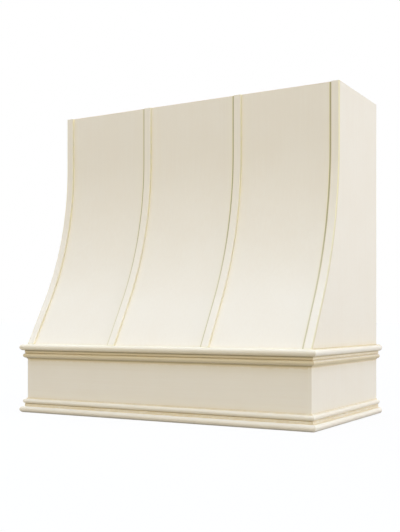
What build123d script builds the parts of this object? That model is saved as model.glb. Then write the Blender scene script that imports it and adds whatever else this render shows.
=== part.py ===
from build123d import *

import os
from math import atan, cos, degrees, radians, sin, tan

# Wooden cover for a kitchen range hood: a straight apron below, and above it a
# front that sweeps back to a shallow top.
# Frame: X to the right as seen from the front, Y towards the wall, Z up.
# The origin is on the wall, at the middle of the bottom edge. Sizes are in mm.

# ---------------------------------------------------------------- driving sizes

# Outside of the carcass, without the mouldings
BODY_WIDTH = 914.4
BODY_HEIGHT = 914.4
APRON_DEPTH = 495.3
APRON_HEIGHT = 203.2
TOP_DEPTH = 308.0

# Sweep of the strap faces: plumb at the top, one tangent bend, straight at the foot,
# which ends a little in front of the apron
PLUMB_LENGTH = 158.75
FOOT_LENGTH = 146.05
FOOT_PROJECTION = 1.6

# Boards
PANEL_THICKNESS = 19.05
APRON_THICKNESS = 19.05
SKIN_THICKNESS = 9.5
REBATE_WIDTH = 9.5
RAIL_THICKNESS = 19.05
RAIL_WIDTH = 88.9
LOWER_RAIL_WIDTH = 139.7
SILL_THICKNESS = 19.05
SILL_DEPTH = 88.9
RIB_THICKNESS = 19.05
RIB_DEPTH = 63.5

# Straps over the skin, one at each side and one between every two bays
BAY_COUNT = 3
STRAP_WIDTH = 22.2
STRAP_THICKNESS = 6.35
STRAP_EASING = 1.0

# Moulding section, from its bullnose towards its thin lip
NOSE_RADIUS = 9.1
NOSE_PROJECTION = 17.5
FILLET_HEIGHT = 7.4
FILLET_PROJECTION = 6.2
QUIRK_WIDTH = 1.4
QUIRK_PROJECTION = 4.4
BEAD_RADIUS = 6.6
BEAD_PROJECTION = 10.2
LIP_HEIGHT = 2.7
LIP_PROJECTION = 2.4

# Cleats that carry the liner, and the glue blocks over them
CLEAT_THICKNESS = 19.05
CLEAT_HEIGHT = 38.1
LINER_RECESS = 38.1
BLOCK_LEG = 38.1

# Holes for screws that are not part of the cover: into the studs, and up from the liner
STUD_SPACING = 406.4
STUD_HOLE_EDGE = 25.4
STUD_HOLE_RADIUS = 3.25
LINER_HOLE_INSET = 82.55
LINER_HOLE_RADIUS = 1.5
LINER_HOLE_DEPTH = 25.4

# Pocket screws of the rails and the sill
POCKET_ANGLE = 15.0
POCKET_RADIUS = 4.75
POCKET_WEB = 14.3
POCKET_EDGE = 22.2
PAN_HEAD_RADIUS = 4.0
PAN_HEAD_HEIGHT = 2.2
POCKET_SCREW_LENGTH = 31.75

# Flat-head screws of the cleats
FLAT_HEAD_RADIUS = 4.0
FLAT_HEAD_HEIGHT = 2.4
CLEAT_SCREW_LENGTH = 31.75
CLEAT_SCREW_INSET = 57.0
LONG_CLEAT_SCREWS = 4
SHORT_CLEAT_SCREWS = 3

# Both kinds of screw
SHANK_RADIUS = 1.9
POINT_LENGTH = 4.0
SCREW_CLEARANCE = 0.1

# ---------------------------------------------------------------- worked-out sizes

HALF_WIDTH = BODY_WIDTH / 2
INNER_HALF = HALF_WIDTH - PANEL_THICKNESS
SKIN_HALF = INNER_HALF + REBATE_WIDTH
SIDES = {"left": -1, "right": 1}

# Distances behind the strap faces, square to them
SKIN_FACE = STRAP_THICKNESS
SKIN_BACK = SKIN_FACE + SKIN_THICKNESS
RIB_BACK = SKIN_BACK + RIB_DEPTH

# The bend is tangent to both straight runs, and that fixes its angle and radius.
SWEEP_RUN = APRON_DEPTH + FOOT_PROJECTION - TOP_DEPTH
SWEEP_DROP = BODY_HEIGHT - APRON_HEIGHT - PLUMB_LENGTH
SWEEP_ANGLE = 2 * atan(SWEEP_RUN / (SWEEP_DROP + FOOT_LENGTH))
TANGENT_LENGTH = SWEEP_RUN / sin(SWEEP_ANGLE) - FOOT_LENGTH
SWEEP_RADIUS = TANGENT_LENGTH / tan(SWEEP_ANGLE / 2)
BEND_TOP = BODY_HEIGHT - PLUMB_LENGTH
BEND_CENTRE = -TOP_DEPTH - SWEEP_RADIUS

APRON_BACK = -APRON_DEPTH + APRON_THICKNESS
UPPER_RAIL_Z = BODY_HEIGHT - RAIL_WIDTH
FRONT_RAIL_Y = -TOP_DEPTH + SKIN_BACK
SILL_Z = APRON_HEIGHT - SILL_THICKNESS
CLEAT_TOP = LINER_RECESS + CLEAT_HEIGHT
FRONT_CLEAT_BACK = APRON_BACK + CLEAT_THICKNESS
REAR_CLEAT_FRONT = -RAIL_THICKNESS - CLEAT_THICKNESS

# The lower row of holes lies in what the rear cleat leaves open of its rail.
UPPER_HOLES_Z = (UPPER_RAIL_Z + BODY_HEIGHT) / 2
LOWER_HOLES_Z = (CLEAT_TOP + LOWER_RAIL_WIDTH) / 2

BAY_PITCH = BODY_WIDTH / BAY_COUNT
INNER_STRAPS = [BAY_PITCH * i - HALF_WIDTH for i in range(1, BAY_COUNT)]


# ---------------------------------------------------------------- helpers

def board(x_range, y_range, z_range):
    """Straight board between two limits on each axis."""
    ranges = (x_range, y_range, z_range)
    size = [high - low for low, high in ranges]
    centre = [(low + high) / 2 for low, high in ranges]
    return Pos(*centre) * Box(*size)


def side_range(side, inner, outer):
    """Limits in X of what lies from inner to outer on one side of the middle."""
    return tuple(sorted((side * inner, side * outer)))


def between(low, high, count):
    """Evenly spaced places from low to high."""
    return [low + (high - low) * i / (count - 1) for i in range(count)]


def sweep_points(offset):
    """Foot, bend end, bend middle, bend top and head of the sweep, as (Y, Z).

    The offset is the distance behind the strap faces, square to them.
    """
    radius = SWEEP_RADIUS + offset

    def on_bend(angle):
        return BEND_CENTRE + radius * cos(angle), BEND_TOP - radius * sin(angle)

    end_y, end_z = on_bend(SWEEP_ANGLE)
    foot = (end_y - (end_z - APRON_HEIGHT) * tan(SWEEP_ANGLE), APRON_HEIGHT)
    head = (-TOP_DEPTH + offset, BODY_HEIGHT)
    return foot, (end_y, end_z), on_bend(SWEEP_ANGLE / 2), on_bend(0), head


def sweep_line(offset):
    """The sweep as three edges, from the foot up to the head."""
    foot, bend_end, bend_middle, bend_top, head = sweep_points(offset)
    return [
        Line(foot, bend_end),
        ThreePointArc(bend_end, bend_middle, bend_top),
        Line(bend_top, head),
    ]


def upright_solid(edges, x_range):
    """Closed outline in the Y-Z plane, made solid between two limits in X."""
    low, high = x_range
    outline = Plane.YZ * make_face(edges)
    return Pos(low, 0, 0) * extrude(outline, high - low, dir=(1, 0, 0))


def swept_band(front, back, x_range):
    """Solid that follows the sweep between two offsets behind the strap faces."""
    front_foot, *_, front_head = sweep_points(front)
    back_foot, *_, back_head = sweep_points(back)
    edges = sweep_line(front) + sweep_line(back)
    edges += [Line(front_foot, back_foot), Line(front_head, back_head)]
    return upright_solid(edges, x_range)


# ---------------------------------------------------------------- screws
# A screw's site is a plane: its origin is where the head seats, and it looks the
# way the screw points.

FROM_SEAT = (Align.CENTER, Align.CENTER, Align.MIN)


def rod(site, start, radius, length):
    return site * Pos(0, 0, start) * Cylinder(radius, length, align=FROM_SEAT)


def taper(site, start, start_radius, end_radius, length):
    return site * Pos(0, 0, start) * Cone(start_radius, end_radius, length, align=FROM_SEAT)


def pocket_site(side, leaving, face):
    """Site of a pocket screw that leaves a board's end at leaving, as (Y, Z).

    The pocket is drilled in the board's face that looks along face, as (Y, Z).
    """
    lean = sin(radians(POCKET_ANGLE))
    run = cos(radians(POCKET_ANGLE))
    direction = Vector(side * run, -face[0] * lean, -face[1] * lean)
    end = Vector(side * INNER_HALF, *leaving)
    return Plane(origin=end - direction * POCKET_WEB, z_dir=direction)


def rail_sites(y_low, z_low, z_high):
    """Two pockets at each end of an upright rail, in its face towards the wall."""
    middle = y_low + RAIL_THICKNESS / 2
    heights = (z_low + POCKET_EDGE, z_high - POCKET_EDGE)
    return [pocket_site(side, (middle, z), (1, 0)) for side in SIDES.values() for z in heights]


def sill_sites():
    """Two pockets at each end of the sill, in its underside, clear of the glue blocks."""
    middle = SILL_Z + SILL_THICKNESS / 2
    depths = (APRON_BACK + BLOCK_LEG, APRON_BACK + SILL_DEPTH - POCKET_EDGE)
    return [pocket_site(side, (y, middle), (0, -1)) for side in SIDES.values() for y in depths]


def pocket_cut(site):
    """Wide bore down to the seat of the head, then a hole for the shank."""
    bore = rod(site, -RAIL_WIDTH, POCKET_RADIUS, RAIL_WIDTH)
    return bore + rod(site, 0, SHANK_RADIUS + SCREW_CLEARANCE, POCKET_SCREW_LENGTH)


def pocket_screw(site):
    straight = POCKET_SCREW_LENGTH - POINT_LENGTH
    head = rod(site, -PAN_HEAD_HEIGHT, PAN_HEAD_RADIUS, PAN_HEAD_HEIGHT)
    shank = rod(site, 0, SHANK_RADIUS, straight)
    return head + shank + taper(site, straight, SHANK_RADIUS, 0, POINT_LENGTH)


def long_cleat_sites(y, direction):
    """Screws through a cleat that runs across the hood."""
    reach = INNER_HALF - CLEAT_SCREW_INSET
    height = LINER_RECESS + CLEAT_HEIGHT / 2
    places = between(-reach, reach, LONG_CLEAT_SCREWS)
    return [Plane(origin=(x, y, height), z_dir=(0, direction, 0)) for x in places]


def short_cleat_sites(side):
    """Screws through a cleat that runs from front to back."""
    x = side * (INNER_HALF - CLEAT_THICKNESS)
    height = LINER_RECESS + CLEAT_HEIGHT / 2
    front = FRONT_CLEAT_BACK + CLEAT_SCREW_INSET
    rear = REAR_CLEAT_FRONT - CLEAT_SCREW_INSET
    places = between(front, rear, SHORT_CLEAT_SCREWS)
    return [Plane(origin=(x, y, height), z_dir=(side, 0, 0)) for y in places]


def cleat_cut(site):
    """Countersink and hole of a cleat screw."""
    sink = taper(site, 0, FLAT_HEAD_RADIUS, SHANK_RADIUS, FLAT_HEAD_HEIGHT)
    return sink + rod(site, 0, SHANK_RADIUS + SCREW_CLEARANCE, CLEAT_SCREW_LENGTH)


def cleat_screw(site):
    """Flat-head screw, its head flush with the face of the cleat."""
    straight = CLEAT_SCREW_LENGTH - POINT_LENGTH
    head = taper(site, 0, FLAT_HEAD_RADIUS, SHANK_RADIUS, FLAT_HEAD_HEIGHT)
    shank = rod(site, 0, SHANK_RADIUS, straight)
    return head + shank + taper(site, straight, SHANK_RADIUS, 0, POINT_LENGTH)


POCKET_SITES = {
    "upper_hanging_rail": rail_sites(-RAIL_THICKNESS, UPPER_RAIL_Z, BODY_HEIGHT),
    "lower_hanging_rail": rail_sites(-RAIL_THICKNESS, 0, LOWER_RAIL_WIDTH),
    "top_front_rail": rail_sites(FRONT_RAIL_Y, UPPER_RAIL_Z, BODY_HEIGHT),
    "front_sill": sill_sites(),
}
CLEAT_SITES = {
    "liner_cleat_front": long_cleat_sites(FRONT_CLEAT_BACK, -1),
    "liner_cleat_rear": long_cleat_sites(REAR_CLEAT_FRONT, 1),
    "liner_cleat_left": short_cleat_sites(SIDES["left"]),
    "liner_cleat_right": short_cleat_sites(SIDES["right"]),
}


# ---------------------------------------------------------------- carcass

def curved_front_panel():
    """Thin skin behind the straps, its ends let into the side panels."""
    return swept_band(SKIN_FACE, SKIN_BACK, (-SKIN_HALF, SKIN_HALF))


def apron_front():
    cuts = [cleat_cut(site) for site in CLEAT_SITES["liner_cleat_front"]]
    return apron_board() - cuts


def apron_board():
    return board((-SKIN_HALF, SKIN_HALF), (-APRON_DEPTH, APRON_BACK), (0, APRON_HEIGHT))


def side_panel(side):
    """Side with the swept front edge, rebated for the skin and the apron board."""
    foot, *_, head = sweep_points(SKIN_FACE)
    ledge = (-APRON_DEPTH, APRON_HEIGHT)
    edges = sweep_line(SKIN_FACE)
    edges += Polyline(head, (0, BODY_HEIGHT), (0, 0), (-APRON_DEPTH, 0), ledge, foot).edges()
    panel = upright_solid(edges, side_range(side, INNER_HALF, HALF_WIDTH))
    cuts = [curved_front_panel(), apron_board()]
    cuts += [pocket_cut(site) for site in toward(side, POCKET_SITES)]
    cuts += [cleat_cut(site) for site in toward(side, CLEAT_SITES)]
    return panel - cuts


def toward(side, sites):
    """The sites whose screws run into one side panel."""
    return [site for group in sites.values() for site in group if site.z_dir.X * side > 0]


def top_front_rail():
    return board(
        (-INNER_HALF, INNER_HALF),
        (FRONT_RAIL_Y, FRONT_RAIL_Y + RAIL_THICKNESS),
        (UPPER_RAIL_Z, BODY_HEIGHT),
    )


def hanging_rail(z_low, z_high, hole_z):
    """Rail at the wall, with holes at the spacing of the studs."""
    rail = board((-INNER_HALF, INNER_HALF), (-RAIL_THICKNESS, 0), (z_low, z_high))
    steps = int((INNER_HALF - STUD_HOLE_EDGE) // STUD_SPACING)
    holes = []
    for i in range(-steps, steps + 1):
        mouth = Plane(origin=(i * STUD_SPACING, 0, hole_z), z_dir=(0, -1, 0))
        holes.append(rod(mouth, 0, STUD_HOLE_RADIUS, RAIL_THICKNESS))
    return rail - holes


def front_sill():
    """Board flat behind the apron, level with its top, for the skin and the ribs."""
    return board(
        (-INNER_HALF, INNER_HALF),
        (APRON_BACK, APRON_BACK + SILL_DEPTH),
        (SILL_Z, APRON_HEIGHT),
    )


def rib(x):
    """Curved rib behind an inner strap, notched round the top front rail."""
    band = swept_band(SKIN_BACK, RIB_BACK, (x - RIB_THICKNESS / 2, x + RIB_THICKNESS / 2))
    return band - top_front_rail()


def corner_block(side):
    """Three-cornered glue block from the cleats up to the sill."""
    corner = (side * INNER_HALF, APRON_BACK)
    along_apron = (side * (INNER_HALF - BLOCK_LEG), APRON_BACK)
    along_side = (side * INNER_HALF, APRON_BACK + BLOCK_LEG)
    outline = make_face(Polyline(corner, along_apron, along_side, close=True))
    return Pos(0, 0, CLEAT_TOP) * extrude(outline, SILL_Z - CLEAT_TOP, dir=(0, 0, 1))


# ---------------------------------------------------------------- liner cleats

def long_cleat(y_low):
    """Cleat across the hood, with a pilot hole for the liner near each end."""
    y_high = y_low + CLEAT_THICKNESS
    cleat = board((-INNER_HALF, INNER_HALF), (y_low, y_high), (LINER_RECESS, CLEAT_TOP))
    reach = INNER_HALF - LINER_HOLE_INSET
    holes = []
    for x in (-reach, reach):
        mouth = Plane(origin=(x, (y_low + y_high) / 2, LINER_RECESS))
        holes.append(rod(mouth, 0, LINER_HOLE_RADIUS, LINER_HOLE_DEPTH))
    return cleat - holes


def short_cleat(side):
    x_range = side_range(side, INNER_HALF - CLEAT_THICKNESS, INNER_HALF)
    return board(x_range, (FRONT_CLEAT_BACK, REAR_CLEAT_FRONT), (LINER_RECESS, CLEAT_TOP))


# ---------------------------------------------------------------- straps

def strap(x):
    """Flat strap over the skin, swept down the front and cut level at the ledge."""
    foot, bend_end, bend_middle, bend_top, head = [Vector(x, *at) for at in sweep_points(0)]
    past_ledge = foot + (foot - bend_end).normalized() * STRAP_THICKNESS
    path = Wire([
        Line(head, bend_top),
        ThreePointArc(bend_top, bend_middle, bend_end),
        Line(bend_end, past_ledge),
    ])
    section = Rectangle(STRAP_WIDTH, STRAP_THICKNESS, align=(Align.CENTER, Align.MIN))
    front_corners = section.vertices().group_by(Axis.Y)[0]
    section = fillet(front_corners, min(STRAP_EASING, 0.4 * STRAP_THICKNESS))
    swept = sweep(Pos(*head) * section, path)
    return split(swept, Plane.XY.offset(APRON_HEIGHT), Keep.TOP)


# ---------------------------------------------------------------- mouldings

def moulding_section():
    """Section as a face: X is the projection, Y runs from the bullnose to the lip."""
    nose_root = NOSE_PROJECTION - NOSE_RADIUS
    nose_end = 2 * NOSE_RADIUS
    fillet_end = nose_end + FILLET_HEIGHT
    bead_start = fillet_end + QUIRK_WIDTH
    bead_root = BEAD_PROJECTION - BEAD_RADIUS
    bead_middle = bead_start + BEAD_RADIUS
    bead_end = bead_middle + BEAD_RADIUS
    lip_end = bead_end + LIP_HEIGHT
    edges = [
        Line((0, 0), (nose_root, 0)),
        ThreePointArc((nose_root, 0), (NOSE_PROJECTION, NOSE_RADIUS), (nose_root, nose_end)),
        ThreePointArc((bead_root, bead_start), (BEAD_PROJECTION, bead_middle), (bead_root, bead_end)),
    ]
    edges += Polyline(
        (nose_root, nose_end),
        (FILLET_PROJECTION, nose_end),
        (FILLET_PROJECTION, fillet_end),
        (QUIRK_PROJECTION, (fillet_end + bead_start) / 2),
        (bead_root, bead_start),
    ).edges()
    edges += Polyline(
        (bead_root, bead_end),
        (LIP_PROJECTION, bead_end),
        (LIP_PROJECTION, lip_end),
        (0, lip_end),
        (0, 0),
    ).edges()
    return make_face(edges)


def mitre(side):
    """Mitre plane at one front corner; it looks away from the front length."""
    return Plane(origin=(side * HALF_WIDTH, -APRON_DEPTH, 0), z_dir=(side, 1, 0))


def moulding(face_point, outward, towards_lip):
    """Overlong length of moulding on the face through face_point."""
    run = Vector(*outward).cross(Vector(*towards_lip))
    place = Plane(origin=face_point, x_dir=outward, z_dir=run)
    return extrude(place * moulding_section(), BODY_WIDTH + APRON_DEPTH, both=True)


def front_moulding(z, lip):
    length = moulding((0, -APRON_DEPTH, z), (0, -1, 0), (0, 0, lip))
    for side in SIDES.values():
        length = split(length, mitre(side), Keep.BOTTOM)
    return length


def return_moulding(side, z, lip):
    length = moulding((side * HALF_WIDTH, 0, z), (side, 0, 0), (0, 0, lip))
    length = split(length, mitre(side), Keep.TOP)
    return split(length, Plane(origin=(0, 0, 0), z_dir=(0, 1, 0)), Keep.BOTTOM)


# ---------------------------------------------------------------- the whole cover

def carcass_parts():
    parts = {
        "curved_front_panel": curved_front_panel(),
        "apron_front": apron_front(),
        "top_front_rail": top_front_rail(),
        "upper_hanging_rail": hanging_rail(UPPER_RAIL_Z, BODY_HEIGHT, UPPER_HOLES_Z),
        "lower_hanging_rail": hanging_rail(0, LOWER_RAIL_WIDTH, LOWER_HOLES_Z),
        "front_sill": front_sill(),
    }
    rear_cuts = [cleat_cut(site) for site in CLEAT_SITES["liner_cleat_rear"]]
    parts["lower_hanging_rail"] -= rear_cuts
    for name, sites in POCKET_SITES.items():
        parts[name] -= [pocket_cut(site) for site in sites]
    for name, side in SIDES.items():
        parts[f"{name}_side_panel"] = side_panel(side)
        parts[f"corner_block_{name}"] = corner_block(side)
    for number, x in enumerate(INNER_STRAPS, start=1):
        parts[f"rib_{number}"] = rib(x)
    return parts


def cleat_parts():
    parts = {
        "liner_cleat_front": long_cleat(APRON_BACK),
        "liner_cleat_rear": long_cleat(REAR_CLEAT_FRONT),
    }
    for name, side in SIDES.items():
        parts[f"liner_cleat_{name}"] = short_cleat(side)
    for name, sites in CLEAT_SITES.items():
        parts[name] -= [cleat_cut(site) for site in sites]
    return parts


def front_trim_parts():
    parts = {}
    for name, side in SIDES.items():
        parts[f"outer_strap_{name}"] = strap(side * (HALF_WIDTH - STRAP_WIDTH / 2))
    for number, x in enumerate(INNER_STRAPS, start=1):
        parts[f"inner_strap_{number}"] = strap(x)
    for level, z, lip in (("bottom", 0, 1), ("top", APRON_HEIGHT, -1)):
        parts[f"{level}_moulding_front"] = front_moulding(z, lip)
        for name, side in SIDES.items():
            parts[f"{level}_moulding_{name}"] = return_moulding(side, z, lip)
    return parts


def screw_parts():
    pockets = [pocket_screw(site) for sites in POCKET_SITES.values() for site in sites]
    cleats = [cleat_screw(site) for sites in CLEAT_SITES.values() for site in sites]
    return {"pocket_screws": Compound(pockets), "cleat_screws": Compound(cleats)}


def main():
    print("bend radius %.1f mm over %.2f degrees" % (SWEEP_RADIUS, degrees(SWEEP_ANGLE)))
    os.makedirs("parts", exist_ok=True)
    parts = carcass_parts() | cleat_parts() | front_trim_parts() | screw_parts()
    for name, shape in parts.items():
        export_step(shape, f"parts/{name}.step")


main()
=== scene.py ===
from math import atan, cos, hypot, pi, radians, sin, tan

import bmesh
import bpy
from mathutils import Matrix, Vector


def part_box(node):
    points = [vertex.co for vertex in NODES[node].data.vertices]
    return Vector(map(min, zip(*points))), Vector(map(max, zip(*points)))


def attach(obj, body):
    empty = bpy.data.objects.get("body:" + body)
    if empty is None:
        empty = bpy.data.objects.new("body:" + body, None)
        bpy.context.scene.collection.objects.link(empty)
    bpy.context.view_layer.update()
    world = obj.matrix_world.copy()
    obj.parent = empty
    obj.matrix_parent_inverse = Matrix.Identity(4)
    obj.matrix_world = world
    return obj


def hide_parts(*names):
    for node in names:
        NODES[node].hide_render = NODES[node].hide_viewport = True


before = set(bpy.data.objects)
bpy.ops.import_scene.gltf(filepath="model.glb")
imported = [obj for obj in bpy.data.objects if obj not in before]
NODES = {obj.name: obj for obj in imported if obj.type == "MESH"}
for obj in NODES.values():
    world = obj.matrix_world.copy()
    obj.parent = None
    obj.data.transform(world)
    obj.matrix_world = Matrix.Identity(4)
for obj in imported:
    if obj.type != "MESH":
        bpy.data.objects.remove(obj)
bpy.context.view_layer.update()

# Dressed model of a wooden range hood cover. Lengths are in mm until a mesh is made.
# X is to the right as seen from the front, Y towards the wall, Z up.

MM = 0.001


def limits(node, axis):
    """Lowest and highest place of a CAD node along one axis."""
    low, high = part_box(node)
    return low[axis] / MM, high[axis] / MM


# ---------------------------------------------------------------- sizes of the frame

X, Y, Z = 0, 1, 2
LEFT, RIGHT = -1, 1
SIDES = {"left": LEFT, "right": RIGHT}

INNER_HALF, HALF_WIDTH = limits("right_side_panel", X)
SKIN_HALF = limits("curved_front_panel", X)[1]
HEIGHT = limits("right_side_panel", Z)[1]
APRON_FRONT, APRON_BACK = limits("apron_front", Y)
LEDGE = limits("apron_front", Z)[1]
STRAP_THICKNESS = 6.35
SKIN_BACK = 15.85
STRAP_TOP_Y = limits("curved_front_panel", Y)[1] - SKIN_BACK
MOULDING_HEIGHT = 42.9
BOTTOM_JOINT = MOULDING_HEIGHT
TOP_JOINT = LEDGE - MOULDING_HEIGHT

# Sweep of the strap faces: plumb at the top, one bend, straight at the foot
PLUMB_LENGTH = 158.75
FOOT_LENGTH = 146.05
SWEEP_RUN = STRAP_TOP_Y - limits("inner_strap_1", Y)[0]
SWEEP_DROP = HEIGHT - LEDGE - PLUMB_LENGTH
SWEEP_ANGLE = 2 * atan(SWEEP_RUN / (SWEEP_DROP + FOOT_LENGTH))
SWEEP_RADIUS = (SWEEP_RUN / sin(SWEEP_ANGLE) - FOOT_LENGTH) / tan(SWEEP_ANGLE / 2)
BEND_TOP = HEIGHT - PLUMB_LENGTH
BEND_CENTRE = STRAP_TOP_Y - SWEEP_RADIUS

# Distances from a crevice: the deep glaze ends at the first and the last haze of it at
# the second. Points far from any crevice have the third.
DEEP_END = 0.96
HAZE_END = 11.2
CLEAR = 14.0


def sweep_at(offset, station):
    """Place on the sweep, as (Y, Z), at a distance behind the strap faces.

    Stations run 0 to 1 up the foot, 1 to 2 round the bend and 2 to 3 up the plumb part.
    """
    radius = SWEEP_RADIUS + offset

    def on_bend(angle):
        return BEND_CENTRE + radius * cos(angle), BEND_TOP - radius * sin(angle)

    if 1 <= station <= 2:
        return on_bend(SWEEP_ANGLE * (2 - station))
    if station < 1:
        end_y, end_z = on_bend(SWEEP_ANGLE)
        foot_y = end_y - (end_z - LEDGE) * tan(SWEEP_ANGLE)
        return foot_y + (end_y - foot_y) * station, LEDGE + (end_z - LEDGE) * station
    return STRAP_TOP_Y + offset, BEND_TOP + (HEIGHT - BEND_TOP) * (station - 2)


# Stations of the rows of points. The top arris of the skin and the straps is eased, so
# each of their stations comes with what the outline has drawn in there.
BEND_STEPS = 32
TOP_EASING = 0.6
BELOW_TOP = [0.0, 0.012, 0.04, 0.1, 0.4, 0.7]
BELOW_TOP += [1 + i / BEND_STEPS for i in range(BEND_STEPS + 1)]
BELOW_TOP += [2.25, 2.5, 2.75, 2.9]
SIDE_STATIONS = BELOW_TOP + [3.0]
EASED_STATIONS = [(station, 0.0) for station in BELOW_TOP]
EASED_STATIONS += [(3 - TOP_EASING / PLUMB_LENGTH, 0.0), (3.0, TOP_EASING)]


# ---------------------------------------------------------------- meshes

SAME_PLACE = 1e-4
NO_LENGTH = 1e-5


def into_scene(name, data):
    """New object in the scene."""
    item = bpy.data.objects.new(name, data)
    bpy.context.scene.collection.objects.link(item)
    return item


def finish_piece(name, build, materials, stands_for, sharp=32):
    """Object from a bmesh in mm, riding on the one body in place of its CAD nodes.

    Edges that turn by more degrees than the last value are drawn sharp.
    """
    bmesh.ops.remove_doubles(build, verts=build.verts, dist=SAME_PLACE)
    bmesh.ops.dissolve_degenerate(build, edges=build.edges, dist=NO_LENGTH)
    bmesh.ops.recalc_face_normals(build, faces=build.faces)
    bmesh.ops.scale(build, vec=(MM, MM, MM), verts=build.verts)
    mesh = bpy.data.meshes.new(name)
    build.to_mesh(mesh)
    build.free()
    for face in mesh.polygons:
        face.use_smooth = True
    mesh.set_sharp_from_angle(angle=radians(sharp))
    piece = into_scene(name, mesh)
    for material in materials:
        mesh.materials.append(material)
    weighted = piece.modifiers.new("weighted", "WEIGHTED_NORMAL")
    weighted.keep_sharp = True
    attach(piece, "root")
    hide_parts(*stands_for)
    return piece


def loft(rings, marks=None, material_of=None, build=None):
    """Closed solid through rings of points, whose marks are their crevice distances.

    material_of gives the slot of the face after a ring and a point; a cap has point -1.
    """
    build = build or bmesh.new()
    layers = build.verts.layers.float
    layer = layers.get("crevice") or layers.new("crevice")
    marks = marks or [[CLEAR] * len(ring) for ring in rings]
    rows = []
    for ring, mark in zip(rings, marks):
        row = []
        for place, value in zip(ring, mark):
            vertex = build.verts.new(place)
            vertex[layer] = value
            row.append(vertex)
        rows.append(row)
    count = len(rows[0])
    for i in range(len(rows) - 1):
        for j in range(count):
            k = (j + 1) % count
            face = build.faces.new((rows[i][j], rows[i][k], rows[i + 1][k], rows[i + 1][j]))
            face.material_index = material_of(i, j) if material_of else 0
    for i, row in ((-1, rows[0][::-1]), (len(rows) - 1, rows[-1])):
        cap = build.faces.new(row)
        cap.material_index = material_of(i, -1) if material_of else 0
    return build


def inset(outline, distance):
    """Closed outline moved inwards, square to its edges."""
    ahead = outline[1:] + outline[:1]
    area = sum(a[0] * b[1] - b[0] * a[1] for a, b in zip(outline, ahead))
    turn = 1 if area > 0 else -1
    sharpest = 0.2  # keeps the points of very sharp corners from running far out
    moved = []
    for before, here, after in zip(outline[-1:] + outline[:-1], outline, ahead):
        normals = []
        for a, b in ((before, here), (here, after)):
            length = hypot(b[0] - a[0], b[1] - a[1])
            normals.append((-(b[1] - a[1]) / length * turn, (b[0] - a[0]) / length * turn))
        (n1, m1), (n2, m2) = normals
        share = distance / max(1 + n1 * n2 + m1 * m2, sharpest)
        moved.append((here[0] + (n1 + n2) * share, here[1] + (m1 + m2) * share))
    return moved


# ---------------------------------------------------------------- materials

def srgb(red, green, blue):
    """Linear colour of an sRGB colour in steps of 255."""
    def channel(value):
        value /= 255
        return value / 12.92 if value <= 0.04045 else ((value + 0.055) / 1.055) ** 2.4
    return channel(red), channel(green), channel(blue), 1.0


class Graph:
    """Node tree of a material or the world, with short calls for the nodes it needs."""

    def __init__(self, owner):
        owner.use_nodes = True
        self.owner = owner
        self.tree = owner.node_tree
        self.tree.nodes.clear()

    def add(self, kind, inputs=None, **settings):
        """New node; sockets among its inputs are linked and other values are set."""
        node = self.tree.nodes.new(kind)
        for key, value in settings.items():
            setattr(node, key, value)
        for key, value in (inputs or {}).items():
            self.give(value, node.inputs[key])
        return node

    def give(self, value, socket):
        """Links a socket to an input, or sets the input to a value."""
        if isinstance(value, bpy.types.NodeSocket):
            self.tree.links.new(value, socket)
        else:
            socket.default_value = value

    def place(self, scale=(1, 1, 1), shift=(0, 0, 0)):
        """Object coordinates, stretched and moved."""
        where = self.add("ShaderNodeTexCoord").outputs["Object"]
        settings = {"Vector": where, "Scale": scale, "Location": shift}
        return self.add("ShaderNodeMapping", settings).outputs["Vector"]

    def grained(self, axis, along, across, shift=(0, 0, 0)):
        """Object coordinates with one scale along an axis and one across it."""
        return self.place([along if i == axis else across for i in range(3)], shift)

    def axis(self, number):
        """Object coordinate along one axis, in mm."""
        where = self.add("ShaderNodeTexCoord").outputs["Object"]
        split = self.add("ShaderNodeSeparateXYZ", {"Vector": where})
        return self.math("MULTIPLY", split.outputs[number], 1 / MM)

    def normal(self, number):
        """Part of the normal along one axis."""
        where = self.add("ShaderNodeNewGeometry").outputs["True Normal"]
        return self.add("ShaderNodeSeparateXYZ", {"Vector": where}).outputs[number]

    def attribute(self, name):
        return self.add("ShaderNodeAttribute", attribute_name=name).outputs["Fac"]

    def math(self, operation, a, b=0.0):
        return self.add("ShaderNodeMath", {0: a, 1: b}, operation=operation).outputs[0]

    def noise(self, vector, scale=1.0, detail=3.0, roughness=0.5, distortion=0.0):
        """Noise with about as many spots in a metre as its scale."""
        settings = {
            "Vector": vector, "Scale": scale, "Detail": detail,
            "Roughness": roughness, "Distortion": distortion,
        }
        return self.add("ShaderNodeTexNoise", settings).outputs["Fac"]

    def span(self, value, low, high, start=0.0, end=1.0, kind="SMOOTHSTEP"):
        """Value that goes from start to end while another goes from low to high."""
        settings = {
            "Value": value, "From Min": low, "From Max": high, "To Min": start, "To Max": end,
        }
        node = self.add("ShaderNodeMapRange", settings, interpolation_type=kind)
        return node.outputs["Result"]

    def vary(self, noise, start=0.0, end=1.0):
        """Value that a noise moves from start to end; most noise is from 0.3 to 0.7."""
        return self.span(noise, 0.3, 0.7, start, end)

    def mix(self, factor, a, b):
        node = self.add("ShaderNodeMix", data_type="RGBA")
        for key, value in (("Factor_Float", factor), ("A_Color", a), ("B_Color", b)):
            self.give(value, next(s for s in node.inputs if s.identifier == key))
        return next(s for s in node.outputs if s.identifier == "Result_Color")

    def surface(self, colour, roughness, height, relief, **constants):
        """The material, with its shader; relief is the height of the bump in mm."""
        bump = self.add("ShaderNodeBump", {"Height": height, "Distance": relief * MM})
        shader = self.add("ShaderNodeBsdfPrincipled", {
            "Base Color": colour, "Roughness": roughness, "Normal": bump.outputs["Normal"],
            **constants,
        })
        self.add("ShaderNodeOutputMaterial", {"Surface": shader.outputs["BSDF"]})
        return self.owner


def new_material(name):
    """Graph of a new material."""
    return Graph(bpy.data.materials.new(name))


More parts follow.
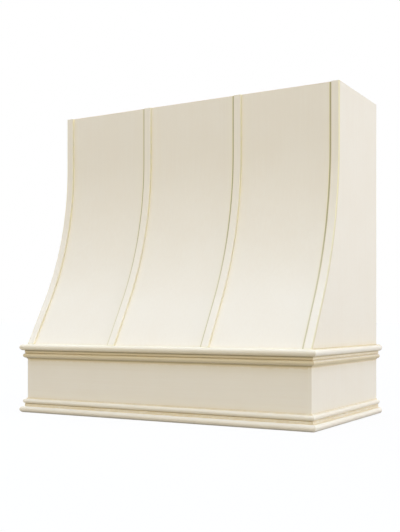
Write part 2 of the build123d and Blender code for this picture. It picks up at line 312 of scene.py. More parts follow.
PAINT_COLOUR = srgb(236, 229, 211)
PAINT_WARM = srgb(233, 224, 204)
PAINT_SHINE = {"Specular IOR Level": 0.3}
GLAZE_COLOUR = srgb(221, 206, 169)
GLAZE_DEEP = srgb(184, 164, 120)
GLAZE_DARK = srgb(158, 138, 94)
# Glaze on the skin and the straps, low down and aloft: deep in the corners, and the film
# beside them. Aloft the deep colour is darker, painted shadow that the straps cast, and
# the film is lighter than the paint, painted light on strap sides that lie in shade.
# Each pair is followed by the heights between which it changes.
DEEP_LOW = srgb(190, 182, 148)
DEEP_AND_SHADOW_ALOFT = srgb(158, 150, 112)
DEEP_SHADOW_CHANGE = (380.0, 560.0)
FILM_LOW = srgb(226, 218, 182)
FILM_AND_LIGHT_ALOFT = srgb(248, 240, 195)
FILM_LIGHT_CHANGE = (400.0, 680.0)
# The most that each covers of the paint; the haze and the wash vary in streaks
DEEP_COVER = 0.85
FILM_COVER = 0.88
HAZE_COVER = (0.08, 0.24)
WASH_VARIES = (0.7, 1.3)
WARM_COVER = 0.45

# Pale wood, dark wood and pores
BIRCH = (srgb(226, 200, 158), srgb(203, 170, 122), srgb(160, 122, 78))
BENDING_PLY = (srgb(219, 184, 146), srgb(190, 148, 106), srgb(160, 122, 78))
POPLAR = (srgb(222, 205, 158), srgb(192, 172, 118), srgb(140, 122, 80))
POPLAR_GREEN = srgb(150, 143, 98)
# Pairs of colours that mix on end grain, on the edges of plywood and on zinc
POPLAR_ENDS = (srgb(196, 172, 118), srgb(150, 124, 80))
PALE_LAYERS = (srgb(214, 184, 138), srgb(190, 156, 108))
DARK_LAYERS = (srgb(160, 120, 78), srgb(128, 92, 58))
ZINC = (srgb(214, 212, 200), srgb(188, 180, 150))
# Thickness of one layer of plywood
BIRCH_LAYER = 1.465
BENDING_LAYER = 1.9
# Moves the grain along by this for every step of the seed
SEED_SHIFT = (1.37, 0.71, 2.13)

PAINT_ROUGHNESS = (0.44, 0.54)
BIRCH_ROUGHNESS = (0.62, 0.78)
BENDING_ROUGHNESS = (0.66, 0.82)
POPLAR_ROUGHNESS = (0.60, 0.80)
ZINC_ROUGHNESS = (0.26, 0.42)
# Heights of the bump
PAINT_RELIEF = 0.035
PLANED_RELIEF = 0.06
BENDING_RELIEF = 0.09
SAWN_RELIEF = 0.14
ZINC_RELIEF = 0.01


def painted(name, grain, levels=(), wash=0.0, deepest_and_shade=GLAZE_DEEP, upright=False):
    """Sprayed antique white with tan glaze left in the crevices.

    Levels are the heights at which something is planted on the face, each with the
    crevice distance right beside it and its growth per mm. The wash is a thin film of
    glaze all over the piece. On an upright front the colours change with the height:
    aloft the deep glaze also holds painted shadow and the film painted light. Beside the
    straps and under the top moulding the deep glaze and the film are partly painted shade.
    """
    g = new_material(name)
    distance = g.attribute("crevice")
    height = g.axis(Z)
    for level, least, growth in levels:
        gap = g.math("ABSOLUTE", g.math("SUBTRACT", height, level))
        away = g.math("ADD", g.math("MULTIPLY", gap, growth), least)
        distance = g.math("MINIMUM", distance, away)

    ragged = g.noise(g.place(), 70, 4, 0.6)
    blotch = g.noise(g.place(), 9)
    streak = g.noise(g.grained(grain, 3, 190), detail=4, roughness=0.6)

    # How much glaze is left: deep in a crevice, as a film beside it, as a haze further
    # out and as a wash everywhere. Beside the straps and under the top moulding the deep
    # glaze and the film are partly painted shade.
    film_end = g.math("ADD", g.vary(ragged, 2.0, 3.0), g.vary(blotch, -0.2, 0.5))
    deep_and_shade = g.span(distance, 0.0, DEEP_END, DEEP_COVER, 0.0)
    film = g.span(distance, DEEP_END, film_end, FILM_COVER, 0.0)
    haze = g.span(distance, 0.0, HAZE_END, 1.0, 0.0)
    haze = g.math("MULTIPLY", haze, g.span(streak, 0.25, 0.75, *HAZE_COVER))
    washes = [wash * share for share in WASH_VARIES]
    haze = g.math("MAXIMUM", haze, g.span(streak, 0.25, 0.75, *washes))

    # On an upright front: painted shadow in the deep colour aloft, painted light in the film
    # aloft
    film_and_light_colour = GLAZE_COLOUR
    if upright:
        film_and_light_colour = g.mix(g.span(height, *FILM_LIGHT_CHANGE), FILM_LOW, FILM_AND_LIGHT_ALOFT)
        deepest_and_shade = g.mix(g.span(height, *DEEP_SHADOW_CHANGE), DEEP_LOW, DEEP_AND_SHADOW_ALOFT)
    patina = g.span(g.math("ADD", streak, blotch), 0.7, 1.3, 0.0, WARM_COVER)
    colour = g.mix(patina, PAINT_COLOUR, PAINT_WARM)
    colour = g.mix(haze, colour, GLAZE_COLOUR)
    colour = g.mix(film, colour, film_and_light_colour)
    colour = g.mix(deep_and_shade, colour, deepest_and_shade)

    peel = g.noise(g.place(), 620, 2)
    brushed = g.noise(g.grained(grain, 6, 420), roughness=0.6)
    relief = g.math("ADD", peel, g.math("MULTIPLY", brushed, 0.8))
    roughness = g.math("ADD", g.vary(ragged, *PAINT_ROUGHNESS), g.math("MULTIPLY", film, 0.14))
    return g.surface(colour, roughness, relief, PAINT_RELIEF, **PAINT_SHINE)


def timber(g, grain, colours, seed):
    """Colour and height of bare wood with its grain along one axis."""
    pale, dark, pores = colours
    shift = [seed * step for step in SEED_SHIFT]
    bands = g.noise(g.grained(grain, 2.2, 26, shift), distortion=1.6)
    rings = g.math("PINGPONG", g.math("MULTIPLY", bands, 7.0), 0.5)
    fibre = g.noise(g.grained(grain, 14, 900, shift), detail=4, roughness=0.65)
    tone = g.math("ADD", g.math("MULTIPLY", rings, 1.1), g.math("MULTIPLY", fibre, 0.45))
    colour = g.mix(g.span(tone, 0.15, 0.95, kind="LINEAR"), pale, dark)
    specks = g.span(g.noise(g.grained(grain, 45, 1500, shift), detail=2), 0.60, 0.72)
    colour = g.mix(g.math("MULTIPLY", specks, 0.45), colour, pores)
    patch = g.noise(g.place(shift=shift), 4.5)
    colour = g.mix(g.vary(patch, 0.0, 0.22), colour, dark)
    return colour, g.math("ADD", fibre, g.math("MULTIPLY", specks, -0.7))


def layered(g, colour, depth, edge, layer):
    """Adds the layers that plywood shows on its edges to the colour of its faces."""
    phase = g.math("FRACT", g.math("MULTIPLY", depth, 0.5 / layer))
    cross = g.span(g.math("ABSOLUTE", g.math("SUBTRACT", phase, 0.5)), 0.235, 0.265)
    fine = g.noise(g.place((600, 600, 600)), roughness=0.6)
    pale = g.mix(g.vary(fine, 0.0, 0.35), *PALE_LAYERS)
    dark = g.mix(g.vary(fine, 0.0, 0.55), *DARK_LAYERS)
    return g.mix(edge, colour, g.mix(cross, dark, pale))


def plywood(name, grain, thickness_axis, low, seed, mirrored=False):
    """Birch plywood: faces with a long grain, edges that show the layers."""
    g = new_material(name)
    colour, height = timber(g, grain, BIRCH, seed)
    depth = g.axis(thickness_axis)
    if mirrored:
        depth = g.math("ABSOLUTE", depth)
    depth = g.math("SUBTRACT", depth, low)
    facing = g.math("ABSOLUTE", g.normal(thickness_axis))
    edge = g.span(facing, 0.4, 0.6, 1.0, 0.0)
    colour = layered(g, colour, depth, edge, BIRCH_LAYER)
    roughness = g.span(height, 0.0, 1.0, *BIRCH_ROUGHNESS)
    return g.surface(colour, roughness, height, PLANED_RELIEF)


def bending_plywood(name, seed):
    """Back and edges of the skin; its thickness runs square to the sweep."""
    g = new_material(name)
    colour, height = timber(g, X, BENDING_PLY, seed)
    edge = g.span(g.normal(Z), 0.9, 0.97)
    colour = layered(g, colour, g.attribute("depth"), edge, BENDING_LAYER)
    roughness = g.span(height, 0.0, 1.0, *BENDING_ROUGHNESS)
    return g.surface(colour, roughness, height, BENDING_RELIEF)


def poplar(name, grain, seed, sawn=False):
    """Bare poplar: pale yellow with green-brown bands."""
    g = new_material(name)
    colour, height = timber(g, grain, POPLAR, seed)
    streak = g.noise(g.grained(grain, 1.4, 17, (seed, seed, 0)), detail=2, distortion=0.8)
    colour = g.mix(g.span(streak, 0.52, 0.74, 0.0, 0.42), colour, POPLAR_GREEN)
    on_end = g.span(g.math("ABSOLUTE", g.normal(grain)), 0.6, 0.9)
    end_grain = g.noise(g.place((420, 420, 420)), roughness=0.6)
    colour = g.mix(on_end, colour, g.mix(end_grain, *POPLAR_ENDS))
    if sawn:
        saw_marks = g.noise(g.grained(grain, 900, 30), detail=2)
        height = g.math("ADD", height, g.math("MULTIPLY", saw_marks, 1.6))
    roughness = g.span(height, 0.0, 1.6, *POPLAR_ROUGHNESS)
    return g.surface(colour, roughness, height, SAWN_RELIEF if sawn else PLANED_RELIEF)


def zinc(name):
    """Bright zinc plating with a faint yellow cast."""
    g = new_material(name)
    patch = g.noise(g.place(), 700, roughness=0.6)
    fine = g.noise(g.place(), 4200, 2)
    colour = g.mix(g.vary(patch), *ZINC)
    return g.surface(colour, g.vary(patch, *ZINC_ROUGHNESS), fine, ZINC_RELIEF, Metallic=1.0)


# Paints, each with its levels: height, crevice distance there and growth per mm
# The upright paint holds painted shadow and painted light aloft beside the straps
paint_upright = painted("paint_upright", Z, ((LEDGE, 1.2, 1.0),), upright=True)
paint_side = painted(
    "paint_side", Z, ((BOTTOM_JOINT, 1.2, 1.0), (TOP_JOINT, 0.1, 0.5), (LEDGE, 0.5, 0.8))
)
# Under the top moulding the apron's glaze fades slowly downwards: partly glaze in the joint,
# partly painted shadow of the moulding
paint_apron = painted("paint_apron", X, ((BOTTOM_JOINT, 0.9, 1.0), (TOP_JOINT, 0.0, 0.3)))
paint_along_y = painted("paint_along_y", Y, wash=0.04, deepest_and_shade=GLAZE_DARK)
paint_front = {
    "top": painted("paint_top_front", X, wash=0.36, deepest_and_shade=GLAZE_DARK),
    "bottom": painted("paint_bottom_front", X, wash=0.10, deepest_and_shade=GLAZE_DARK),
}
ply_side = plywood("ply_side", Z, X, INNER_HALF, 3.0, mirrored=True)
ply_skin = bending_plywood("ply_skin", 5.0)
ply_apron = plywood("ply_apron", X, Y, APRON_FRONT, 8.0)
zinc_plate = zinc("zinc_plate")


# ---------------------------------------------------------------- skin and straps

STRAPS = ["outer_strap_left", "inner_strap_1", "inner_strap_2", "outer_strap_right"]

# Glaze on the skin on either side of a strap, as distance from the strap and crevice
# distance. On the left it is wider and deeper, partly glaze and partly painted shadow
# that the strap casts, and it narrows there down the sweep as that shadow does: by so
# much over so many stations below station 2.
CORNER_GLAZE_AND_SHADOW = {
    LEFT: ((0.0, 0.0), (6.3, 0.1), (7.3, 0.9), (8.2, 2.2), (9.4, 4.0), (CLEAR, CLEAR)),
    RIGHT: ((0.0, 1.7), (1.0, 1.9), (2.4, 2.7), (6.0, 6.0), (CLEAR, CLEAR)),
}
CORNER_COLUMNS = {
    LEFT: (0.0, 4.4, 5.2, 6.0, 7.2, 8.2, 9.4, CLEAR),
    RIGHT: (0.0, 1.0, 2.4, 6.0, CLEAR),
}
SHADOW_NARROWING = 1.0
SHADOW_NARROWING_STATIONS = 1.6


def between(curve, place):
    """Value at a place of a curve that is given by its points."""
    for (near, low), (far, high) in zip(curve, curve[1:]):
        if near <= place <= far:
            return low + (high - low) * (place - near) / (far - near)
    return CLEAR


def corner_mark(side, distance, station):
    """Crevice distance on the skin, on one side of a strap and at a distance from it; on the
    left it also places the painted shadow of the strap.
    """
    if side == LEFT:
        distance += SHADOW_NARROWING * min(max((2 - station) / SHADOW_NARROWING_STATIONS, 0), 1)
    return between(CORNER_GLAZE_AND_SHADOW[side], distance)


def skin():
    """Thin front skin with points beside every strap, where the glaze, and on the left the
    painted shadow of the strap, fades out.
    """
    columns = {-SKIN_HALF: (RIGHT, 0.0), SKIN_HALF: (RIGHT, 0.0)}
    for node in STRAPS:
        for edge, side in zip(limits(node, X), (LEFT, RIGHT)):
            for distance in CORNER_COLUMNS[side]:
                x = edge + side * distance
                if abs(x) < SKIN_HALF:
                    columns[x] = (side, distance)
    front = sorted(columns.items())
    count = len(front)
    rings, marks = [], []
    for station, drawn_in in EASED_STATIONS:
        ahead = sweep_at(STRAP_THICKNESS + drawn_in, station)
        behind = sweep_at(SKIN_BACK - drawn_in, station)
        rings.append([(x, *ahead) for x, _ in front] + [(x, *behind) for x, _ in front[::-1]])
        on_front = [corner_mark(*beside, station) for _, beside in front]
        marks.append(on_front + [CLEAR] * count)
    arris = len(rings) - 2

    def material_of(i, j):
        return 0 if 0 <= j < count - 1 and i < arris else 1

    build = loft(rings, marks, material_of)
    layer = build.verts.layers.float.new("depth")
    for i, vertex in enumerate(build.verts):
        on_back = i % (2 * count) >= count
        vertex[layer] = SKIN_BACK - STRAP_THICKNESS if on_back else 0.0
    return finish_piece(
        "front_skin", build, [paint_upright, ply_skin], ["curved_front_panel"]
    )


ARRIS_RADIUS = 1.0
ARRIS_STEPS = 4
# Distances from the side at which the film on the face begins to fade, and ends
FILM_WIDTH = 2.0
FADE_WIDTH = 4.0
# Crevice distances on the straps: on a side flush with a side panel, on a side that
# stands on the skin, the growth of both per step round the arris, on the face, and in
# the lowest stations, at the ledge
# The sides of the straps take the upright paint: aloft their film is painted light on sides in
# shade
ON_FLUSH_SIDE = 0.65
ON_SKIN_SIDE = 1.7
ARRIS_GROWTH = 0.15
ON_FACE = 2.6
AT_LEDGE = 1.0
LEDGE_STATIONS = 0.02
# Points further than this from the middle line of a strap draw in at its top
DRAWS_IN = 9.0


def strap(node):
    """Flat strap with rounded front arrises, cut level at the ledge."""
    low, high = limits(node, X)
    middle = (low + high) / 2
    front, sides = [], {}
    for side, x in ((LEFT, low), (RIGHT, high)):
        on_side = ON_FLUSH_SIDE if abs(x) > SKIN_HALF else ON_SKIN_SIDE
        sides[side] = (x, STRAP_THICKNESS, on_side)
        corner = [(x - side * FADE_WIDTH, 0.0, CLEAR), (x - side * FILM_WIDTH, 0.0, ON_FACE)]
        for step in range(ARRIS_STEPS + 1):
            angle = pi / 2 * step / ARRIS_STEPS
            across = x - side * ARRIS_RADIUS * (1 - sin(angle))
            mark = on_side + ARRIS_GROWTH * (ARRIS_STEPS - step)
            corner.append((across, ARRIS_RADIUS * (1 - cos(angle)), mark))
        front += corner[::-1] if side == LEFT else corner
    back = [(low + (high - low) * share, STRAP_THICKNESS, CLEAR) for share in (0.8, 0.5, 0.2)]
    section = [sides[LEFT], *front, sides[RIGHT], *back]

    rings, marks = [], []
    for station, drawn_in in EASED_STATIONS:
        ring = []
        for x, offset, _ in section:
            if abs(x - middle) > DRAWS_IN:
                x += drawn_in if x < middle else -drawn_in
            depth = min(max(offset, drawn_in), STRAP_THICKNESS - drawn_in)
            ring.append((x, *sweep_at(depth, station)))
        rings.append(ring)
        limit = AT_LEDGE if station < LEDGE_STATIONS else CLEAR
        marks.append([min(mark, limit) for *_, mark in section])
    return finish_piece(f"{node}_eased", loft(rings, marks), [paint_upright], [node])


skin()
for strap_node in STRAPS:
    strap(strap_node)


# ---------------------------------------------------------------- side panels and apron

SIDE_EASING = 0.3
APRON_EASING = 0.5
# Glaze along the swept edge of a side panel: width and crevice distance of its film,
# and the width over which it fades out
EDGE_WIDTH = 1.2
EDGE_FILM = 1.0
EDGE_FADE = 4.0


def side_outline(offset, apron_y):
    """Outline of a side panel as (Y, Z), from the foot of the sweep round to the ledge."""
    outline = [sweep_at(offset, station) for station in SIDE_STATIONS]
    return outline + [(0, HEIGHT), (0, 0), (apron_y, 0), (apron_y, LEDGE)]


def side_panel(name, side):
    """Side panel with eased arrises and the rebate that takes the skin and the apron."""
    outer = side_outline(STRAP_THICKNESS, APRON_FRONT)
    inner = side_outline(SKIN_BACK, APRON_BACK)
    swept = len(SIDE_STATIONS)
    round_arris = SIDE_EASING * 0.3
    # Outline, place and inset of each ring, from the painted face to the bare one
    rows = [
        (outer, HALF_WIDTH, CLEAR),
        (outer, HALF_WIDTH, EDGE_FADE),
        (outer, HALF_WIDTH, EDGE_WIDTH),
        (outer, HALF_WIDTH, SIDE_EASING),
        (outer, HALF_WIDTH - round_arris, round_arris),
        (outer, HALF_WIDTH - SIDE_EASING, 0.0),
        (outer, SKIN_HALF, 0.0),
        (inner, SKIN_HALF, 0.0),
        (inner, INNER_HALF + SIDE_EASING, 0.0),
        (inner, INNER_HALF, SIDE_EASING),
    ]
    rings, marks = [], []
    for outline, x, distance in rows:
        ring = inset(outline, distance) if distance else outline
        rings.append([(side * x, y, z) for y, z in ring])
        on_edge = EDGE_FILM if distance <= EDGE_WIDTH else CLEAR
        marks.append([on_edge] * swept + [CLEAR] * (len(ring) - swept))

    # Bare wood: the inner face, and the top and back edges past their arrises
    bare_edges = (swept - 1, swept)

    def material_of(i, j):
        return 1 if i >= 8 or i >= 4 and j in bare_edges else 0

    build = loft(rings, marks, material_of)
    materials, stands_for = [paint_side, ply_side], [f"{name}_side_panel"]
    return finish_piece(f"{name}_side_eased", build, materials, stands_for)


def apron():
    """Apron board; its face shows between the mouldings and on the ledge."""
    ease = APRON_EASING
    rings = []
    for z, drawn_in in ((0, ease), (ease, 0), (LEDGE - ease, 0), (LEDGE, ease)):
        ahead, behind = APRON_FRONT + drawn_in, APRON_BACK - drawn_in
        rings.append([
            (-SKIN_HALF, ahead, z), (SKIN_HALF, ahead, z),
            (SKIN_HALF, behind, z), (-SKIN_HALF, behind, z),
        ])
    build = loft(rings, material_of=lambda i, j: 1 if j == 2 else 0)
    materials = [paint_apron, ply_apron]
    return finish_piece("apron_board", build, materials, ["apron_front"])


for side_name, side_sign in SIDES.items():
    side_panel(side_name, side_sign)
apron()


# ---------------------------------------------------------------- mouldings

NOSE_RADIUS = 9.1
NOSE_PROJECTION = 17.5
FILLET_HEIGHT = 7.4
FILLET_PROJECTION = 6.2
QUIRK_WIDTH = 1.4
QUIRK_PROJECTION = 4.4
BEAD_RADIUS = 6.6
BEAD_PROJECTION = 10.2
LIP_HEIGHT = 2.7
LIP_PROJECTION = 2.4
MOULDING_ARRIS = 0.4
NOSE_STEPS = 22
BEAD_STEPS = 16
# The two kinds of ends of a length: distances of the rows of points from the end, each
# with the most that their crevice distances can be
MITRE = ((0.0, 0.9), (0.6, 2.7), (2.5, CLEAR))
SQUARE = ((0.0, CLEAR),)
FRONT, WALL = 0, 1

# How the glaze was left on each kind of moulding, in crevice distances: where the nose
# starts, along the nose by the distance from its fillet, in the three corners, and on
# the fillet, both halves of the bead and the lip. The growths are per mm, round the
# nose from its start and elsewhere from a corner. On the front of the top moulding the
# glaze under the nose, on the fillet, the lower bead and the lip is partly painted shade
# of the overhanging nose; on its returns the film from the start over the top of the
# nose is partly painted shade on its lit top.
GLAZE_AND_SHADE_LEFT = {
    "top_moulding_front": {
        "start": 2.5, "nose": ((0, 0.0), (3, 0.15), (6, 0.6), (9, 1.2), (14, 2.4)),
        "corners": (0.0, 0.4, 0.35), "faces": (0.8, 1.6, 0.7, 0.4), "growth": (0.3, 0.2),
    },
    "top_moulding_side": {
        "start": 0.5, "nose": ((0, 0.0), (3, 0.3), (6, 1.0), (9, 1.8), (12, 2.8), (14, 6.0)),
        "corners": (0.0, 1.2, 0.7), "faces": (1.8, CLEAR, 0.75, 0.65), "growth": (0.25, 0.55),
    },
    "bottom_moulding_front": {
        "start": 1.2, "nose": ((0, 0.5), (3, 1.2), (6, 3.0), (9, CLEAR)),
        "corners": (1.0, 0.0, 1.1), "faces": (2.0, CLEAR, 5.0, 2.2), "growth": (0.75, 0.75),
    },
    "bottom_moulding_side": {
        "start": 0.4, "nose": ((0, 0.8), (5, 1.4), (8, 2.8), (11, CLEAR)),
        "corners": (1.1, 1.4, 1.4), "faces": (2.0, CLEAR, 4.0, 2.2), "growth": (0.5, 1.3),
    },
}
LIP_JOINT = 0.1


def arc(centre, radius, steps):
    """Half circle that bulges outwards, from low to high."""
    turns = [pi * (i / steps - 0.5) for i in range(steps + 1)]
    return [(centre[0] + radius * cos(a), centre[1] + radius * sin(a)) for a in turns]


def moulding_profile(left):
    """Points as (projection, height from the bullnose), and their crevice distances."""
    nose = arc((NOSE_PROJECTION - NOSE_RADIUS, NOSE_RADIUS), NOSE_RADIUS, NOSE_STEPS)
    fillet = 2 * NOSE_RADIUS
    quirk = fillet + FILLET_HEIGHT
    bead_start = quirk + QUIRK_WIDTH
    bead_middle = (BEAD_PROJECTION - BEAD_RADIUS, bead_start + BEAD_RADIUS)
    bead = arc(bead_middle, BEAD_RADIUS, BEAD_STEPS)
    bead_end = bead_start + 2 * BEAD_RADIUS
    lip_end = bead_end + LIP_HEIGHT
    arris = MOULDING_ARRIS
    half = len(bead) // 2
    on_fillet, on_bead, past_bead, on_lip = left["faces"]
    at_fillet, at_quirk, at_lip = left["corners"]
    points = [((0.0, 0.0), left["start"]), (nose[0], left["start"])]
    points += [(place, CLEAR) for place in nose[1:]]
    points += [((FILLET_PROJECTION, fillet), at_fillet)]
    points += [
        ((FILLET_PROJECTION, fillet + along), on_fillet)
        for along in (0.8, 1.8, FILLET_HEIGHT / 2, FILLET_HEIGHT - 1.4, FILLET_HEIGHT - arris)
    ]
    points += [
        ((FILLET_PROJECTION - arris, quirk), on_fillet),
        ((QUIRK_PROJECTION, quirk + QUIRK_WIDTH / 2), at_quirk),
    ]
    points += [(place, on_bead) for place in bead[:half]]
    points += [(place, past_bead) for place in bead[half:]]
    points += [
        ((LIP_PROJECTION, bead_end), at_lip),
        ((LIP_PROJECTION, bead_end + LIP_HEIGHT / 2), on_lip),
        ((LIP_PROJECTION, lip_end - arris), on_lip),
        ((LIP_PROJECTION - arris, lip_end), on_lip),
        ((0.0, lip_end), LIP_JOINT),
    ]
    places, marks = [list(column) for column in zip(*points)]
    spread(places, marks, len(nose), left)
    return places, marks


def spread(places, marks, nose_end, left):
    """Lowers marks along the nose by their curve, and beside every corner."""
    steps = [hypot(b[0] - a[0], b[1] - a[1]) for a, b in zip(places, places[1:])]
    away = places[nose_end][0] - FILLET_PROJECTION
    for i in range(nose_end, 0, -1):
        marks[i] = min(marks[i], between(left["nose"], away))
        away += steps[i - 1]
    from_start, from_corner = left["growth"]
    for i in range(1, nose_end // 2):
        marks[i] = min(marks[i], marks[i - 1] + steps[i - 1] * from_start)
    past_nose = range(nose_end + 1, len(places))
    for i in past_nose:
        marks[i] = min(marks[i], marks[i - 1] + steps[i - 1] * from_corner)
    for i in past_nose[::-1]:
        marks[i - 1] = min(marks[i - 1], marks[i] + steps[i - 1] * from_corner)


def moulding(node, material, profile, place_at, ends):
    """Length of moulding from one of its ends to the other, each with its kind.

    place_at gives a profile point's place at a distance from an end.
    """
    places, profile_marks = profile
    (start, start_kind), (stop, stop_kind) = ends
    rows = [(start, *row) for row in start_kind] + [(stop, *row) for row in stop_kind[::-1]]
    rings, marks = [], []
    for end, distance, joint in rows:
        rings.append([place_at(end, distance, *place) for place in places])
        marks.append([min(mark, joint) for mark in profile_marks])
    return finish_piece(
        f"{node}_run", loft(rings, marks), [material], [node], sharp=40
    )


def mouldings(level, base, up):
    """The three lengths at one level; up is -1 where the section is upside down."""
    profile = moulding_profile(GLAZE_AND_SHADE_LEFT[f"{level}_moulding_front"])

    def front_place(side, distance, projection, height):
        x = side * (HALF_WIDTH + projection - distance)
        return x, APRON_FRONT - projection, base + up * height

    ends = ((LEFT, MITRE), (RIGHT, MITRE))
    moulding(f"{level}_moulding_front", paint_front[level], profile, front_place, ends)

    profile = moulding_profile(GLAZE_AND_SHADE_LEFT[f"{level}_moulding_side"])
    for side_name, side in SIDES.items():

        def return_place(y_end, distance, projection, height):
            y = APRON_FRONT - projection + distance if y_end == FRONT else 0.0
            return side * (HALF_WIDTH + projection), y, base + up * height

        ends = ((FRONT, MITRE), (WALL, SQUARE))
        moulding(f"{level}_moulding_{side_name}", paint_along_y, profile, return_place, ends)


mouldings("bottom", 0.0, 1)
mouldings("top", LEDGE, -1)


# ---------------------------------------------------------------- bare wood of the frame

def dress(node, material):
    """New material in every slot of a CAD node."""
    slots = NODES[node].data.materials
    slots.clear()
    slots.append(material)


# Grain and seed of the poplar boards
for board, grain, seed in (
    ("top_front_rail", X, 11.0),
    ("upper_hanging_rail", X, 14.0),
    ("lower_hanging_rail", X, 17.0),
    ("liner_cleat_front", X, 31.0),
    ("liner_cleat_rear", X, 34.0),
    ("liner_cleat_left", Y, 41.0),
    ("liner_cleat_right", Y, 44.0),
):
    dress(board, poplar(f"poplar_{board}", grain, seed))
for block, seed in (("corner_block_left", 51.0), ("corner_block_right", 54.0)):
    dress(block, poplar(f"poplar_{block}", Z, seed, sawn=True))
# Grain, axis of the thickness and seed of the plywood boards
for board, grain, thickness, seed in (
    ("front_sill", X, Z, 21.0),
    ("rib_1", Z, X, 24.0),
    ("rib_2", Z, X, 27.0),
):
    low = limits(board, thickness)[0]
    dress(board, plywood(f"ply_{board}", grain, thickness, low, seed))


# ---------------------------------------------------------------- screws

AROUND = 16
SHANK_RADIUS = 1.9
CORE_RADIUS = 1.35
THREAD_PITCH = 2.8
THREAD_START = 9.8
THREAD_HALF_WIDTH = 0.3  # of a turn
ROWS_PER_TURN = 8
POINT_LENGTH = 4.0
TIP_RADIUS = 0.05
RECESS_DEPTH = 1.5
RECESS_TAPER = 0.8
SQUARE_HALF_WIDTH = 1.4
CROSS_REACH = 2.1
CROSS_HALF_WIDTH = 0.55
SAME_DISTANCE = 0.01
# Heads from the recess outwards, as distance below the top and radius
PAN_HEAD = (
    (0.0, 2.3), (0.25, 3.0), (0.9, 3.5), (1.1, 4.0), (2.1, 4.0), (2.2, 3.9), (2.2, 1.9),
)
FLAT_HEAD = ((0.0, 3.8), (0.12, 3.88), (2.4, 1.9))


def square_recess(angle):
    """Outline of a square drive, as its radius at an angle."""
    return SQUARE_HALF_WIDTH / max(abs(cos(angle)), abs(sin(angle)))


def cross_recess(angle):
    """Outline of a cross drive, as its radius at an angle."""
    across, along = sorted((abs(cos(angle)), abs(sin(angle))))
    across = max(across, 0.1)  # never 0; the reach decides there
    return min(CROSS_REACH / along, CROSS_HALF_WIDTH / across)


def screw_rows(head, recess, length):
    """Rows from the bottom of the recess to the point, as depth below the top and radii."""
    drive = [recess(2 * pi * i / AROUND) for i in range(AROUND)]
    rows = [(RECESS_DEPTH, [RECESS_TAPER * radius for radius in drive]), (0.0, drive)]
    rows += [(depth, [radius] * AROUND) for depth, radius in head]
    step = THREAD_PITCH / ROWS_PER_TURN
    rows.append((THREAD_START - step, [SHANK_RADIUS] * AROUND))
    for i in range(int((length - THREAD_START) / step)):
        depth = THREAD_START + i * step
        taper = min((length - depth) / POINT_LENGTH, 1)
        radii = []
        for j in range(AROUND):
            off_crest = abs((depth / THREAD_PITCH - j / AROUND) % 1 - 0.5)
            crest = max(1 - off_crest / THREAD_HALF_WIDTH, 0)
            radii.append(taper * (CORE_RADIUS + (SHANK_RADIUS - CORE_RADIUS) * crest))
        rows.append((depth, radii))
    return rows + [(length, [TIP_RADIUS] * AROUND)]


def loose_parts(node):
    """Corner points in mm of every loose part of a CAD node."""
    source = bmesh.new()
    source.from_mesh(NODES[node].data)
    bmesh.ops.transform(source, matrix=NODES[node].matrix_world, verts=source.verts)
    bmesh.ops.remove_doubles(source, verts=source.verts, dist=1e-6)
    left = set(source.verts)
    parts = []
    for seed in source.verts[:]:
        if seed not in left:
            continue
        left.discard(seed)
        part, ahead = [], [seed]
        while ahead:
            vertex = ahead.pop()
            part.append(vertex.co / MM)
            for edge in vertex.link_edges:
                other = edge.other_vert(vertex)
                if other in left:
                    left.discard(other)
                    ahead.append(other)
        parts.append(part)
    source.free()
    return parts


def middle_of(points):
    """Mean place of points."""
    return sum(points, Vector()) / len(points)


def screws(node, head, recess):
    """The screws of a CAD node, with recessed heads and threads."""
    build = None
    for part in loose_parts(node):
        # The point of a screw is furthest from its middle, and the rim of its top is
        # furthest from the point.
        middle = middle_of(part)
        point = max(part, key=lambda place: (place - middle).length)
        reach = max((place - point).length for place in part)
        top = middle_of([
            place for place in part if reach - (place - point).length < SAME_DISTANCE
        ])
        axis = point - top
        turn = axis.to_track_quat("Z", "Y").to_matrix()
        rings = []
        for depth, radii in screw_rows(head, recess, axis.length):
            angles = [2 * pi * j / AROUND for j in range(AROUND)]
            rings.append([
                top + turn @ Vector((radius * cos(angle), radius * sin(angle), depth))
                for radius, angle in zip(radii, angles)
            ])
        build = loft(rings, build=build)
    return finish_piece(f"{node}_threaded", build, [zinc_plate], [node], sharp=35)


screws("pocket_screws", PAN_HEAD, square_recess)
screws("cleat_screws", FLAT_HEAD, cross_recess)


# ---------------------------------------------------------------- floor, light and camera

AMBIENT = 0.15  # strength of the even light from all round
# Lights as azimuth to the right of the front, elevation, softness (all in degrees)
# and strength in red, green and blue
LIGHTS = {
    "side_light": (97, 12, 30, (1.94, 1.86, 1.84)),
    "front_light": (0, 15, 50, (1.56, 1.36, 1.01)),
    "top_light": (0, 88, 60, (2.18, 2.67, 3.70)),
    "back_light": (-130, 25, 50, (1.1, 1.1, 1.1)),
}
LAMP_DISTANCE = 3.0
# Grey of the floor for the light that bounces off it and for the camera, and the share
# of plain white through which the camera sees it
FLOOR_GREY = 0.35
FLOOR_SEEN = 0.70
PLAIN_WHITE = 0.94
FLOOR_REACH = 60.0
CAMERA_PLACE = (1.279, -2.4681, 0.2774)
CAMERA_TURN = 30.017
CAMERA_LENS = 58.124
CAMERA_SHIFT = 0.1004


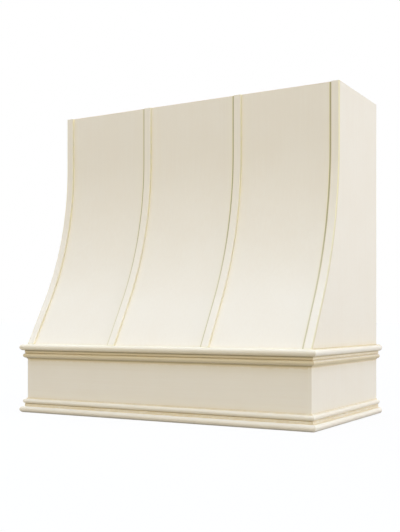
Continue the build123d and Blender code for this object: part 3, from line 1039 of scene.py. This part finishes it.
def floor_material():
    """Pale floor that keeps the shadow; from below it can't be seen."""
    g = new_material("floor")
    camera = g.add("ShaderNodeLightPath").outputs["Is Camera Ray"]
    grey = g.span(camera, 0.0, 1.0, FLOOR_GREY, FLOOR_SEEN, "LINEAR")
    diffuse = g.add("ShaderNodeBsdfDiffuse", {"Color": grey}).outputs[0]
    white = g.add("ShaderNodeEmission", {"Strength": 1.0}).outputs[0]
    clear = g.add("ShaderNodeBsdfTransparent").outputs[0]
    below = g.add("ShaderNodeNewGeometry").outputs["Backfacing"]
    share = g.math("MULTIPLY", camera, PLAIN_WHITE)
    above = g.add("ShaderNodeMixShader", {0: share, 1: diffuse, 2: white}).outputs[0]
    either = g.add("ShaderNodeMixShader", {0: below, 1: above, 2: clear}).outputs[0]
    g.add("ShaderNodeOutputMaterial", {"Surface": either})
    return g.owner


def make_floor():
    """Plain floor, far larger than the view."""
    mesh = bpy.data.meshes.new("floor")
    corners = [(-1, -1), (1, -1), (1, 1), (-1, 1)]
    places = [(x * FLOOR_REACH, y * FLOOR_REACH, 0) for x, y in corners]
    mesh.from_pydata(places, [], [(0, 1, 2, 3)])
    mesh.materials.append(floor_material())
    floor = into_scene("floor", mesh)


def make_world():
    """White for the camera and for reflections, a soft even light for the rest."""
    world = bpy.data.worlds.new("studio")
    bpy.context.scene.world = world
    g = Graph(world)
    rays = g.add("ShaderNodeLightPath").outputs
    seen = g.math("MAXIMUM", rays["Is Camera Ray"], rays["Is Glossy Ray"])
    seen = g.math("MAXIMUM", seen, rays["Is Transmission Ray"])
    strength = g.span(seen, 0.0, 1.0, AMBIENT, 1.0, "LINEAR")
    sky = g.add("ShaderNodeBackground", {"Color": (1, 1, 1, 1), "Strength": strength})
    g.add("ShaderNodeOutputWorld", {"Surface": sky.outputs[0]})


def sun_light(name, azimuth, elevation, softness, strengths):
    """Soft light that comes from one direction over the whole hood."""
    lamp = bpy.data.lights.new(name, "SUN")
    lamp.angle = radians(softness)
    lamp.energy = max(strengths)
    lamp.color = [strength / max(strengths) for strength in strengths]
    turn, rise = radians(azimuth), radians(elevation)
    towards = Vector((cos(rise) * sin(turn), -cos(rise) * cos(turn), sin(rise)))
    holder = into_scene(name, lamp)
    holder.location = towards * LAMP_DISTANCE
    holder.rotation_euler = towards.to_track_quat("Z", "Y").to_euler()


def make_camera():
    """Level camera to the right of the hood, raised in the frame by its shift."""
    camera = bpy.data.cameras.new("camera")
    camera.sensor_width = 36.0
    camera.lens = CAMERA_LENS
    camera.shift_y = CAMERA_SHIFT
    holder = into_scene("camera", camera)
    holder.location = CAMERA_PLACE
    holder.rotation_euler = (radians(90), 0, radians(CAMERA_TURN))
    bpy.context.scene.camera = holder


make_floor()
make_world()
for light_name, light_values in LIGHTS.items():
    sun_light(light_name, *light_values)
make_camera()
bpy.context.scene.view_settings.view_transform = "Standard"
